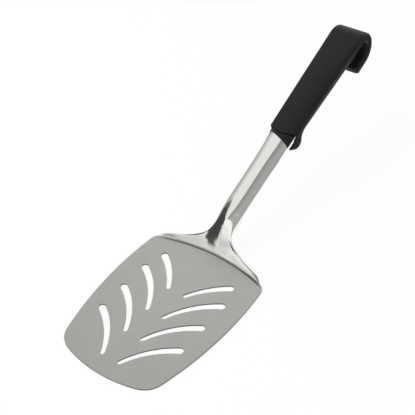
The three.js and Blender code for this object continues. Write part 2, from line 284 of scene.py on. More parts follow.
@dataclass(frozen=True)
class SmoothPlastic(MouldedPlastic):
    """The same plastic from a smoother mould, as on the sleeve: a narrower shine, almost no grain."""

    name: str = "polypropylene_black_smooth"
    base: str = "#1e1d1f"
    roughness: float = 0.3
    grain: Grain = Grain(size=0.5, depth=0.008, strength=0.35, detail=2.0)


# Meshes and curves


def mesh_object(
    name: str, points: np.ndarray, faces: Faces, edges: Faces | None = None
) -> bpy.types.Object:
    """Makes a mesh object from points in millimetres.

    Args:
        name: the object's name.
        points: one row of x, y and z per point.
        faces: point numbers of each face.
        edges: point numbers of each loose edge.

    Returns:
        The object, linked to the scene.
    """
    mesh = bpy.data.meshes.new(name)
    mesh.from_pydata([tuple(p) for p in np.asarray(points, float) * MM], edges or [], faces)
    mesh.update()
    made = bpy.data.objects.new(name, mesh)
    bpy.context.scene.collection.objects.link(made)
    return made


def grid_faces(rows: int, columns: int, ring: bool) -> Faces:
    """Numbers the quads of a grid of points.

    Args:
        rows: rows of points.
        columns: points in a row.
        ring: whether each row closes on itself.

    Returns:
        The quads.
    """
    last = columns if ring else columns - 1
    faces = []
    for row in range(rows - 1):
        for column in range(last):
            after = (column + 1) % columns
            low = row * columns
            faces.append((low + column, low + after, low + columns + after, low + columns + column))
    return faces


def loft(name: str, rings: list[np.ndarray]) -> bpy.types.Object:
    """Joins closed rings into one solid with both ends capped.

    Args:
        name: the object's name.
        rings: rings of points with the same count, in millimetres.

    Returns:
        The closed solid, with its faces outward.
    """
    count = len(rings[0])
    faces = grid_faces(len(rings), count, ring=True)
    end = (len(rings) - 1) * count
    faces.append(tuple(range(count)))
    faces.append(tuple(end + i for i in range(count)))
    made = mesh_object(name, np.concatenate(rings), faces)
    turn_outward(made)
    return made


def turn_outward(obj: bpy.types.Object) -> None:
    """Turns all faces of a closed mesh outward.

    Args:
        obj: the mesh object.
    """
    work = bmesh.new()
    work.from_mesh(obj.data)
    bmesh.ops.recalc_face_normals(work, faces=work.faces)
    work.to_mesh(obj.data)
    work.free()


def settle(obj: bpy.types.Object) -> bpy.types.Object:
    """Turns an object with modifiers into a plain mesh.

    Args:
        obj: the object.

    Returns:
        The same object, with the result as its own mesh and no modifiers.
    """
    graph = bpy.context.evaluated_depsgraph_get()
    result = bpy.data.meshes.new_from_object(obj.evaluated_get(graph))
    before = obj.data
    obj.modifiers.clear()
    obj.data = result
    result.name = obj.name
    bpy.data.meshes.remove(before)
    return obj


def combine(body: bpy.types.Object, tool: bpy.types.Object, operation: str) -> None:
    """Joins a tool to a body or cuts the body with it, and removes the tool.

    Args:
        body: the object that changes.
        tool: the object that is used up.
        operation: "UNION" or "DIFFERENCE".
    """
    change = body.modifiers.new(operation.lower(), "BOOLEAN")
    change.operation = operation
    change.solver = "EXACT"
    change.object = tool
    settle(body)
    bpy.data.objects.remove(tool)


def dress(obj: bpy.types.Object, finish: bpy.types.Material, slot: Slot, *nodes: str) -> bpy.types.Object:
    """Gives a finished piece its material, its body and the CAD nodes that it stands for.

    Args:
        obj: the piece.
        finish: its material.
        slot: the record's material slot; not used.
        nodes: the CAD nodes that it replaces.

    Returns:
        The piece.
    """
    obj.data.materials.clear()
    obj.data.materials.append(finish)
    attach(obj, BODY)
    if nodes:
        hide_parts(*nodes)
    LOG.info("%s: %d faces, stands for %s", obj.name, len(obj.data.polygons), nodes or "itself")
    return obj


def spaced(line: np.ndarray, at: np.ndarray) -> np.ndarray:
    """Finds points along a polyline by the share of its length.

    Args:
        line: the polyline's points.
        at: shares of the length, from 0 to 1.

    Returns:
        One point per share.
    """
    steps = np.linalg.norm(np.diff(line, axis=0), axis=1)
    length = np.concatenate([[0.0], np.cumsum(steps)])
    share = length / length[-1]
    return np.stack([np.interp(at, share, line[:, axis]) for axis in range(line.shape[1])], axis=1)


def bezier(controls: list[np.ndarray], count: int) -> np.ndarray:
    """Follows a Bezier curve of any degree.

    Args:
        controls: its control points.
        count: how many points to return.

    Returns:
        The points, from the first control to the last.
    """
    t = np.linspace(0, 1, count)[:, None]
    level = [np.broadcast_to(np.asarray(c, float), (count, len(c))) for c in controls]
    while len(level) > 1:
        level = [a + (b - a) * t for a, b in zip(level, level[1:])]
    return level[0]


def through(knots: list[np.ndarray], count: int) -> np.ndarray:
    """Follows a smooth curve through points.

    Args:
        knots: the points on the curve.
        count: points on each stretch between two knots.

    Returns:
        The curve's points.
    """
    points = [np.asarray(k, float) for k in knots]
    padded = [2 * points[0] - points[1], *points, 2 * points[-1] - points[-2]]
    stretches = []
    for p0, p1, p2, p3 in zip(padded, padded[1:], padded[2:], padded[3:]):
        reach = np.linalg.norm(p2 - p1)
        before = (p2 - p0) / (np.linalg.norm(p1 - p0) + reach) * reach
        after = (p3 - p1) / (np.linalg.norm(p3 - p2) + reach) * reach
        stretches.append(bezier([p1, p1 + before / 3, p2 - after / 3, p2], count)[:-1])
    return np.concatenate([*stretches, [points[-1]]])


def prism(name: str, ring: np.ndarray, low: float, high: float) -> bpy.types.Object:
    """Makes an upright prism on a ring.

    Args:
        name: the object's name.
        ring: closed ring of x and y.
        low: height of its foot.
        high: height of its top.

    Returns:
        The prism.
    """
    return loft(name, [np.column_stack([ring, np.full(len(ring), z)]) for z in (low, high)])


def oblong(left: float, right: float, low: float, high: float) -> Outline:
    """Draws an oblong.

    Args:
        left: its least value on the first axis.
        right: its greatest value there.
        low: its least value on the second axis.
        high: its greatest value there.

    Returns:
        The four corners.
    """
    return ((left, low), (right, low), (right, high), (left, high))


def ramp(place: np.ndarray, start: float, end: float) -> np.ndarray:
    """Eases from 0 at one place to 1 at another.

    Args:
        place: places along a line.
        start: where it is 0.
        end: where it is 1.

    Returns:
        Numbers from 0 to 1 with soft ends.
    """
    inside = np.clip((place - start) / (end - start), 0, 1)
    return inside * inside * (3 - 2 * inside)


def level_off(share: np.ndarray) -> np.ndarray:
    """Bends a share over so that it levels off softly at 1.

    Args:
        share: numbers from 0 up.

    Returns:
        Numbers that start out equal to the shares and stay at 1 from a share of 2.
    """
    return 1 - np.square(1 - np.clip(share / 2, 0, 1))


def reshape(obj: bpy.types.Object, change: Callable[[np.ndarray], np.ndarray]) -> None:
    """Moves a mesh's points.

    Args:
        obj: the mesh object.
        change: from old to new points, in millimetres.
    """
    flat = np.empty(3 * len(obj.data.vertices))
    obj.data.vertices.foreach_get("co", flat)
    obj.data.vertices.foreach_set("co", (change(flat.reshape(-1, 3) / MM) * MM).ravel())
    obj.data.update()


def smooth(obj: bpy.types.Object, degrees: float) -> None:
    """Shades a mesh smooth except across sharp edges.

    Args:
        obj: the mesh object.
        degrees: the angle from which an edge stays sharp.
    """
    obj.data.shade_smooth()
    obj.data.set_sharp_from_angle(angle=math.radians(degrees))


# Geometry node trees


def new_tree(
    name: str, inputs: dict[str, str]
) -> tuple[bpy.types.NodeTree, bpy.types.Node, dict[str, str]]:
    """Starts a geometry node tree with named inputs.

    Args:
        name: the tree's name.
        inputs: input names to socket types.

    Returns:
        The tree, its group input node, and each input's identifier.
    """
    tree = bpy.data.node_groups.new(name, "GeometryNodeTree")
    tree.is_modifier = True
    names = {"Geometry": "NodeSocketGeometry", **inputs}
    keys = {}
    for label, kind in names.items():
        keys[label] = tree.interface.new_socket(label, in_out="INPUT", socket_type=kind).identifier
    tree.interface.new_socket("Geometry", in_out="OUTPUT", socket_type="NodeSocketGeometry")
    return tree, add_node(tree, "NodeGroupInput"), keys


def end_tree(tree: bpy.types.NodeTree, shape: bpy.types.NodeSocket, finish: bpy.types.NodeSocket) -> None:
    """Ends a tree: real geometry, its material, then the output.

    Args:
        tree: the tree.
        shape: the geometry so far.
        finish: the material input.
    """
    real = add_node(tree, "GeometryNodeRealizeInstances", {"Geometry": shape})
    painted = {"Geometry": real.outputs["Geometry"], "Material": finish}
    done = add_node(tree, "GeometryNodeSetMaterial", painted)
    add_node(tree, "NodeGroupOutput", {"Geometry": done.outputs["Geometry"]})


def slot_rows_tree() -> tuple[bpy.types.NodeTree, dict[str, str]]:
    """Makes the tree that repeats one slot down the blade and mirrors it.

    Returns:
        The tree and its inputs' identifiers.
    """
    inputs = {"Rows": "NodeSocketInt", "Pitch": "NodeSocketVector", "Finish": "NodeSocketMaterial"}
    tree, given, keys = new_tree("slot_rows", inputs)
    rows = add_node(
        tree, "GeometryNodeMeshLine", {"Count": given.outputs["Rows"], "Offset": given.outputs["Pitch"]}
    )
    placed = {"Points": rows.outputs["Mesh"], "Instance": given.outputs["Geometry"]}
    side = add_node(tree, "GeometryNodeInstanceOnPoints", placed)
    solid = add_node(tree, "GeometryNodeRealizeInstances", {"Geometry": side.outputs["Instances"]})
    mirrored = {"Geometry": solid.outputs["Geometry"], "Scale": (-1.0, 1.0, 1.0)}
    other = add_node(tree, "GeometryNodeTransform", mirrored)
    turned = add_node(tree, "GeometryNodeFlipFaces", {"Mesh": other.outputs["Geometry"]})
    both = add_node(tree, "GeometryNodeJoinGeometry", {"Geometry": solid.outputs["Geometry"]})
    tree.links.new(turned.outputs["Mesh"], both.inputs["Geometry"])
    end_tree(tree, both.outputs["Geometry"], given.outputs["Finish"])
    return tree, keys


def swept_bar_tree() -> tuple[bpy.types.NodeTree, dict[str, str]]:
    """Makes the tree that sweeps a section along a straight bar.

    Returns:
        The tree and its inputs' identifiers.
    """
    inputs = {
        "Start": "NodeSocketVector",
        "End": "NodeSocketVector",
        "Spacing": "NodeSocketFloat",
        "Finish": "NodeSocketMaterial",
    }
    tree, given, keys = new_tree("swept_bar", inputs)
    section = add_node(tree, "GeometryNodeMeshToCurve", {"Mesh": given.outputs["Geometry"]})
    ends = {"Start": given.outputs["Start"], "End": given.outputs["End"]}
    line = add_node(tree, "GeometryNodeCurvePrimitiveLine", ends)
    steps = {"Curve": line.outputs["Curve"], "Length": given.outputs["Spacing"]}
    path = add_node(tree, "GeometryNodeResampleCurve", steps, mode="LENGTH")
    upright = add_node(tree, "GeometryNodeSetCurveNormal", {"Curve": path.outputs["Curve"]}, mode="Z_UP")
    swept = {
        "Curve": upright.outputs["Curve"],
        "Profile Curve": section.outputs["Curve"],
        "Fill Caps": True,
    }
    bar = add_node(tree, "GeometryNodeCurveToMesh", swept)
    end_tree(tree, bar.outputs["Mesh"], given.outputs["Finish"])
    return tree, keys


def run_tree(
    obj: bpy.types.Object, tree: bpy.types.NodeTree, keys: dict[str, str], values: dict[str, object]
) -> bpy.types.Object:
    """Runs a geometry node tree on an object and keeps its result as a plain mesh.

    Args:
        obj: the object that the tree reads.
        tree: the tree.
        keys: its inputs' identifiers.
        values: input names to values.

    Returns:
        The same object, with the result as its mesh.
    """
    step = obj.modifiers.new(tree.name, "NODES")
    step.node_group = tree
    for label, value in values.items():
        step[keys[label]] = value
    obj.update_tag()
    return settle(obj)


# The spatula


@dataclass(frozen=True)
class GripAxis:
    """The shank's axis: where it starts over the blade and how steeply it climbs."""

    start_y: float = 83.7
    start_z: float = 24.3
    angle: float = 22.2

    def world(self, local: np.ndarray) -> np.ndarray:
        """Moves points from the shank's frame into the part's frame.

        Args:
            local: points as x, distance along the axis and height over it.

        Returns:
            The points in the part's frame.
        """
        local = np.asarray(local, float)
        rise = math.radians(self.angle)
        y = self.start_y + local[..., 1] * math.cos(rise) - local[..., 2] * math.sin(rise)
        z = self.start_z + local[..., 1] * math.sin(rise) + local[..., 2] * math.cos(rise)
        return np.stack([local[..., 0], y, z], axis=-1)

    def local(self, world: np.ndarray) -> np.ndarray:
        """Moves points from the part's frame into the shank's frame.

        Args:
            world: points in the part's frame.

        Returns:
            The points as x, distance along the axis and height over it.
        """
        rise = math.radians(self.angle)
        y = world[..., 1] - self.start_y
        z = world[..., 2] - self.start_z
        along = y * math.cos(rise) + z * math.sin(rise)
        return np.stack([world[..., 0], along, z * math.cos(rise) - y * math.sin(rise)], axis=-1)


@dataclass(frozen=True)
class Shank:
    """Oval bar of polished steel with a flat ground along its top and a waist at the neck.

    Places along the bar count from the neck's end towards the handle. A pair of places says where a
    form is still full and where it has faded out. The keel is the ridge on the neck: how broad its
    crest is and how far aside it stands, as shares of the half width.
    """

    axis: GripAxis = field(default_factory=GripAxis)
    half_width: float = 9.0
    crest: float = 4.4
    half_thickness: float = 4.1
    edge_round: float = 0.06
    length: float = 117.0
    spacing: float = 1.0
    sag: float = 1.2
    sag_until: tuple[float, float] = (42.0, 62.0)
    waist_from: float = 10.0
    waist_full: float = -12.0
    waist_until: tuple[float, float] = (-12.0, -31.0)
    waist_narrow: float = 0.03
    waist_drop: float = 1.4
    rise_from: float = -1.0
    rise_full: float = -13.0
    waist_rise: float = 1.8
    keel: float = 0.14
    keel_aside: float = 0.16
    keel_fade: float = 3.0
    sharp_angle: float = 9.0
    steps: int = 96

    def flatten(self, height: np.ndarray) -> np.ndarray:
        """Cuts heights off at the flat, with a slightly broken edge.

        Args:
            height: heights over the axis.

        Returns:
            The heights, none above the flat.
        """
        share = np.clip(0.5 + 0.5 * (self.half_thickness - height) / self.edge_round, 0, 1)
        eased = self.edge_round * share * (1 - share)
        return self.half_thickness * (1 - share) + height * share - eased

    def section(self, flat: bool = True) -> np.ndarray:
        """Draws the bar's section.

        Args:
            flat: whether the upper flat is ground already, like the lower one.

        Returns:
            Closed ring of x and height over the axis.
        """
        turn = np.linspace(0, 2 * math.pi, self.steps, endpoint=False)
        height = self.crest * np.sin(turn)
        ground = np.sign(height) * self.flatten(np.abs(height))
        height = np.where(flat | (height < 0), ground, height)
        return np.stack([self.half_width * np.cos(turn), height], axis=1)

    def grown(self, gap: float) -> np.ndarray:
        """Draws the section a little larger all round.

        Args:
            gap: how much larger it is.

        Returns:
            Closed ring of x and height over the axis.
        """
        section = self.section()
        return section + gap * section / np.linalg.norm(section, axis=1)[:, None]

    def ground(self, points: np.ndarray) -> np.ndarray:
        """Shapes the neck's waist and ridge, lets the bar's sides fall and grinds the flat on top.

        Args:
            points: points in the part's frame.

        Returns:
            The shaped points, in the part's frame.
        """
        local = self.axis.local(points)
        along = local[..., 1]
        out = local[..., 0] / self.half_width
        full, gone = self.waist_until
        sags, plain = self.sag_until
        neck = ramp(along, gone, full)
        waist = neck * ramp(along, self.waist_from, self.waist_full)
        rise = neck * self.waist_rise * ramp(along, self.rise_from, self.rise_full)
        sag = neck * self.sag * ramp(along, plain, sags)
        off = np.hypot(out - self.keel_aside * neck**self.keel_fade, self.keel) - self.keel
        roof = level_off(off / (math.hypot(1, self.keel) - self.keel))
        lift = rise * (1 - roof) - sag * level_off(np.square(out)) - self.waist_drop * waist * roof
        local[..., 0] *= 1 - self.waist_narrow * waist
        local[..., 2] = self.flatten(local[..., 2] + lift)
        return self.axis.world(local)

    def build(self, finish: bpy.types.Material) -> bpy.types.Object:
        """Builds the bar from the neck into the handle.

        Args:
            finish: the polished steel.

        Returns:
            The finished piece.
        """
        ring = self.section(flat=False)
        edges = [(i, (i + 1) % len(ring)) for i in range(len(ring))]
        bar = mesh_object("shank", np.column_stack([ring, np.zeros(len(ring))]), [], edges)
        start, end = self.axis.world([[0.0, 0.0, 0.0], [0.0, self.length, 0.0]]) * MM
        values = {"Start": list(start), "End": list(end), "Spacing": self.spacing * MM, "Finish": finish}
        run_tree(bar, *swept_bar_tree(), values)
        reshape(bar, self.ground)
        turn_outward(bar)
        smooth(bar, self.sharp_angle)
        return dress(bar, finish, Slot.SHANK, "shank_tube")


@dataclass(frozen=True)
class Blade:
    """Flat slotted sheet with bowed sides, turned up behind into a shoulder and a neck.

    The rim is the shoulder's free edge: x, distance behind the bend line and height of its points.
    """

    shank: Shank = field(default_factory=Shank)
    sheet: float = 1.2
    width: float = 100.0
    front_y: float = -65.7
    widest_y: float = 20.0
    front_bow: float = 100.0
    side_bow: float = 263.0
    front_corner: float = 9.0
    rear_corner: float = 4.0
    bend_y: float = 59.3
    bend_bow: float = 145.0
    heel: float = 1.3
    edge_break: float = 0.16
    break_angle: float = 40.0
    break_segments: int = 2
    wall_slope: float = 0.3
    slot_rows: int = 3
    slot_first: tuple[float, float] = (7.4, -51.7)
    slot_pitch: float = 22.9
    slot_reach: tuple[float, float] = (26.3, 29.3)
    slot_bow: float = 3.1
    last_reach: tuple[float, float] = (21.6, 22.9)
    last_bow: float = 1.8
    slot_inner: float = 1.55
    slot_outer: float = 2.6
    shoulder_tip: float = 45.6
    neck_half_width: float = 8.4
    neck_skirt: float = 4.0
    neck_steepness: float = 47.0
    neck_pull: float = 14.5
    foot_pull: float = 8.0
    rim: tuple[tuple[float, float, float], ...] = (
        (40.0, 2.9, 4.4),
        (24.0, 5.0, 5.8),
        (13.5, 5.8, 7.6),
        (8.8, 9.2, 11.8),
    )
    foot_edge: float = 2.2
    foot_tip: float = 0.01
    foot_taper: float = 0.12
    foot_most: float = 0.9
    foot_gap: float = 0.02
    edge_forward: float = 0.3
    edge_lean: float = 0.22
    edge_top: float = 0.9
    seam: float = 0.22
    seam_step: float = 0.02
    seam_back: float = 0.25
    # rows of faces at the foot of the shoulder's edge that take the dark steel as painted shade in the
    # seam
    seam_shade_rows: int = 2
    spread: float = 0.55
    neck_hold: float = 2.4
    sharp_angle: float = 24.0
    steps: int = 40

    def bend(self, x: np.ndarray) -> np.ndarray:
        """Finds the bend line's y.

        Args:
            x: distance from the centre line.

        Returns:
            The line's y.
        """
        return self.bend_y - np.square(x) / (2 * self.bend_bow)

    def front(self, x: np.ndarray) -> np.ndarray:
        """Finds the front edge's y.

        Args:
            x: distance from the centre line.

        Returns:
            The edge's y.
        """
        return self.front_y + np.square(x) / (2 * self.front_bow)

    def rear(self, x: np.ndarray) -> np.ndarray:
        """Finds the y of the flat part's rear end, just behind the bend line.

        Args:
            x: distance from the centre line.

        Returns:
            The end's y.
        """
        return self.bend(x) + self.heel

    def corner(self, end: Callable[[float], float]) -> tuple[float, float]:
        """Finds where an end of the blade would meet its side if it had no rounding.

        Each round of the loop brings y closer to where the two lines cross.

        Args:
            end: from x to the end's y.

        Returns:
            The corner's x and y.
        """
        y = end(self.width / 2)
        for _ in range(self.steps):
            y = end(self.side(y))
        return self.side(y), y

    def outline(self) -> np.ndarray:
        """Draws the sheet's outline.

        Returns:
            Closed ring of x and y, counter-clockwise.
        """
        fx, fy = self.corner(self.front)
        rx, ry = self.corner(self.rear)
        x0 = fx - self.front_corner
        x1 = rx - self.rear_corner
        y0 = fy + self.front_corner
        y1 = ry - self.rear_corner
        middle = np.linspace(0, x0, self.steps)
        sides = np.linspace(y0, y1, self.steps)
        back = np.linspace(x1, 0, self.steps)
        right = np.concatenate(
            [
                np.column_stack([middle, self.front(middle)])[:-1],
                bezier([(x0, self.front(x0)), (fx, fy), (self.side(y0), y0)], self.steps)[:-1],
                np.column_stack([self.side(sides), sides])[:-1],
                bezier([(self.side(y1), y1), (rx, ry), (x1, self.rear(x1))], self.steps)[:-1],
                np.column_stack([back, self.rear(back)]),
            ]
        )
        left = right[1:-1][::-1] * (-1, 1)
        return np.concatenate([right, left])

    def side(self, y: np.ndarray) -> np.ndarray:
        """Finds the half width of the blade.

        Args:
            y: place along the blade.

        Returns:
            The half width there.
        """
        return self.width / 2 - np.square(y - self.widest_y) / (2 * self.side_bow)

    def slot_ring(self, row: int, reach: tuple[float, float], bow: float) -> np.ndarray:
        """Draws one slot on the right: a bowed line that widens outward, with round ends.

        Args:
            row: the slot's row from the front.
            reach: x and y from its inner to its outer end.
            bow: how far its middle stands off that line.

        Returns:
            Closed ring of x and y.
        """
        inner = np.array(self.slot_first) + (0, row * self.slot_pitch)
        chord = np.array(reach)
        off = np.array([-chord[1], chord[0]]) / np.hypot(*chord)
        line = bezier([inner, inner + chord / 2 + 2 * bow * off, inner + chord], self.steps)
        ahead = np.gradient(line, axis=0)
        ahead /= np.linalg.norm(ahead, axis=1)[:, None]
        left = np.column_stack([-ahead[:, 1], ahead[:, 0]])
        radius = np.linspace(self.slot_inner, self.slot_outer, self.steps)[:, None]
        turn = np.linspace(-math.pi / 2, math.pi / 2, self.steps // 2)[1:-1, None]
        outer_end = line[-1] + radius[-1] * (np.cos(turn) * ahead[-1] + np.sin(turn) * left[-1])
        inner_end = line[0] - radius[0] * (np.cos(turn) * ahead[0] + np.sin(turn) * left[0])
        return np.concatenate([line - radius * left, outer_end, (line + radius * left)[::-1], inner_end])

    def build_plate(self, finish: bpy.types.Material, sheared_and_seam_shade: bpy.types.Material) -> bpy.types.Object:
        """Builds the flat blade, with its slots punched and its edges broken.

        Args:
            finish: the satin steel.
            sheared_and_seam_shade: the dull steel of the cut edges.

        Returns:
            The finished piece.
        """
        plate = prism("blade_plate", self.outline(), 0.0, self.sheet)
        tree, keys = slot_rows_tree()
        first = self.slot_ring(0, self.slot_reach, self.slot_bow)
        last = self.slot_ring(self.slot_rows, self.last_reach, self.last_bow)
        for rows, ring in ((self.slot_rows, first), (1, last)):
            punch = prism("slot_punch", ring, -self.sheet, 2 * self.sheet)
            pitch = [0.0, self.slot_pitch * MM, 0.0]
            run_tree(punch, tree, keys, {"Rows": rows, "Pitch": pitch, "Finish": finish})
            combine(plate, punch, "DIFFERENCE")
        broken = plate.modifiers.new("broken_edges", "BEVEL")
        broken.width = self.edge_break * MM
        broken.segments = self.break_segments
        broken.limit_method = "ANGLE"
        broken.angle_limit = math.radians(self.break_angle)
        settle(plate)
        dress(plate, finish, Slot.BLADE, "blade")
        plate.data.materials.append(sheared_and_seam_shade)
        for face in plate.data.polygons:
            face.material_index = int(abs(face.normal.z) < self.wall_slope)
        return plate

    def neck_section(self, share: np.ndarray) -> np.ndarray:
        """Follows half of the neck's end section, from its crest to the foot of its wall.

        Args:
            share: shares of the section's length.

        Returns:
            Points in the part's frame.
        """
        turn = np.linspace(0, math.pi / 2, 4 * self.steps)
        x = np.append(self.shank.half_width * np.sin(turn), self.neck_half_width)
        up = np.append(self.shank.crest * np.cos(turn), -self.neck_skirt)
        return self.shank.axis.world(spaced(np.column_stack([x, 0 * x, up]), share))

    def centre_line(self, share: np.ndarray) -> np.ndarray:
        """Follows the neck's middle from the bend line up to the shank.

        Args:
            share: shares of its length.

        Returns:
            Points in the part's frame.
        """
        foot = np.array([0.0, self.bend_y, self.sheet])
        steep = math.radians(self.neck_steepness)
        climb = np.array([0.0, math.cos(steep), math.sin(steep)])
        crest = self.shank.crest
        near, top = self.shank.axis.world([[0.0, -self.neck_pull, crest], [0.0, 0.0, crest]])
        return spaced(bezier([foot, foot + self.foot_pull * climb, near, top], 8 * self.steps), share)

    def free_edge(self, share: np.ndarray) -> np.ndarray:
        """Follows the shoulder's free edge from its tip to the neck's wall.

        Args:
            share: shares of its length.

        Returns:
            Points in the part's frame.
        """
        tip = np.array([self.shoulder_tip, self.bend(self.shoulder_tip), self.sheet])
        wall = self.shank.axis.world([self.neck_half_width, 0.0, -self.neck_skirt])
        knots = [np.array([x, self.bend(x) + back, z]) for x, back, z in self.rim]
        return spaced(through([tip, *knots, wall], self.steps), share)

    def shoulder_half(self) -> np.ndarray:
        """Fills the right half of the shoulder and neck between its four border curves.

        Returns:
            Grid of points: rows climb from the fold, columns run outward.
        """
        outward = np.linspace(0, 1, 2 * self.steps + 1)
        upward = np.linspace(0, 1, 2 * self.steps + 1)
        x = outward * self.shoulder_tip
        foot = np.column_stack([x, self.bend(x), np.full(len(x), self.sheet)])
        head = self.neck_section(outward)
        middle = self.centre_line(upward)
        rim = self.free_edge(upward)
        climb = (1 - (1 - upward) ** self.neck_hold)[:, None, None]
        reach = np.hypot(outward, self.spread) - self.spread
        reach = (reach / reach[-1])[None, :, None]
        low = (1 - reach) * foot[0] + reach * foot[-1]
        high = (1 - reach) * head[0] + reach * head[-1]
        grid = (1 - climb) * foot[None] + climb * head[None]
        grid = grid + (1 - reach) * middle[:, None] + reach * rim[:, None]
        grid = grid - (1 - climb) * low - climb * high
        columns = [self.footed(grid[:, i], across) for i, across in enumerate(outward)]
        return np.stack(columns, axis=1)

    def footed(self, column: np.ndarray, across: float) -> np.ndarray:
        """Stands one column on the sheet's edge, which shows over the seam along the blade.

        The places of the edge and of the seam are shares of the edge's height.

        Args:
            column: the column's points from the bend line up.
            across: its place from the centre to the tip, 0 to 1.

        Returns:
            The column, with the seam and the edge below it.
        """
        height = self.foot_edge * min(1.0, (1 + self.foot_tip - across) / self.foot_taper)
        length = np.linalg.norm(np.diff(column, axis=0), axis=1).sum()
        start = min(height / length, self.foot_most)
        rest = spaced(column, np.linspace(start, 1, 2 * self.steps))
        away = np.array([column[0, 0] / self.bend_bow, 1.0, 0.0])
        foot = rest[0] - self.edge_forward * height * away / np.linalg.norm(away)
        shares = np.array([0.0, self.seam, self.seam + self.seam_step, self.edge_top])
        levels = self.sheet + self.foot_gap + height * shares
        edge = np.column_stack([np.tile(foot[:2], (len(levels), 1)), levels])
        edge[:2] += self.seam_back * height * away
        edge[-1] += self.edge_lean * height * away
        return np.concatenate([edge, rest])

    def build_shoulder(self, finish: bpy.types.Material, sheared_and_seam_shade: bpy.types.Material) -> bpy.types.Object:
        """Builds the turned-up shoulder and the neck.

        Args:
            finish: the polished steel.
            sheared_and_seam_shade: the dark steel painted in the seam as shade where the edge meets the
                blade.

        Returns:
            The finished piece.
        """
        half = self.shoulder_half()
        grid = np.concatenate([half[:, :0:-1] * (-1, 1, 1), half], axis=1)
        points = self.shank.ground(grid)
        rows, columns = points.shape[:2]
        faces = grid_faces(rows, columns, ring=False)
        sheet = mesh_object("blade_shoulder", points.reshape(-1, 3), faces)
        thick = sheet.modifiers.new("sheet", "SOLIDIFY")
        thick.thickness = self.sheet * MM
        thick.offset = -1.0
        settle(sheet)
        smooth(sheet, self.sharp_angle)
        dress(sheet, finish, Slot.SHANK, "blade")
        sheet.data.materials.append(sheared_and_seam_shade)
        # Painted shade: the lowest rows of the foot edge take the dark steel, as the shade in the seam
        # where the edge meets the blade.
        for face in sheet.data.polygons[: self.seam_shade_rows * (columns - 1)]:
            face.material_index = 1
        return sheet


@dataclass(frozen=True)
class Sleeve:
    """Thin plastic sleeve round the shank, cut off at a slant in the handle's mouth."""

    shank: Shank = field(default_factory=Shank)
    clearance: float = 0.05
    wall: float = 0.45
    front: float = 66.1
    slant: float = 20.0
    back: float = 80.0
    sharp_angle: float = 50.0
    steps: int = 6

    def ring(self, grow: float, along: float, lean: float = 0.0) -> np.ndarray:
        """Places one ring round the shank.

        Args:
            grow: how far it stands off the shank.
            along: where it lies along the axis.
            lean: how far it slants forward for each step to the right.

        Returns:
            The ring in the part's frame.
        """
        x, up = self.shank.grown(grow).T
        return self.shank.axis.world(np.column_stack([x, along - lean * x, up]))

    def build(self, finish: bpy.types.Material) -> bpy.types.Object:
        """Builds the sleeve as a closed tube with a rounded lip.

        Args:
            finish: the black plastic.

        Returns:
            The finished piece.
        """
        lean = math.tan(math.radians(self.slant))
        rings = [self.ring(self.clearance, self.back)]
        for turn in np.linspace(0, math.pi / 2, self.steps + 1):
            grow = self.clearance + self.wall * math.sin(turn)
            rings.append(self.ring(grow, self.front + self.wall * (1 - math.cos(turn)), lean))
        rings.append(self.ring(self.clearance + self.wall, self.back))
        count = len(rings[0])
        faces = grid_faces(len(rings), count, ring=True)
        end = (len(rings) - 1) * count
        for i in range(count):
            after = (i + 1) % count
            faces.append((end + i, end + after, after, i))
        made = mesh_object("sleeve", np.concatenate(rings), faces)
        turn_outward(made)
        smooth(made, self.sharp_angle)
        return dress(made, finish, Slot.SLEEVE, "shank_sleeve")


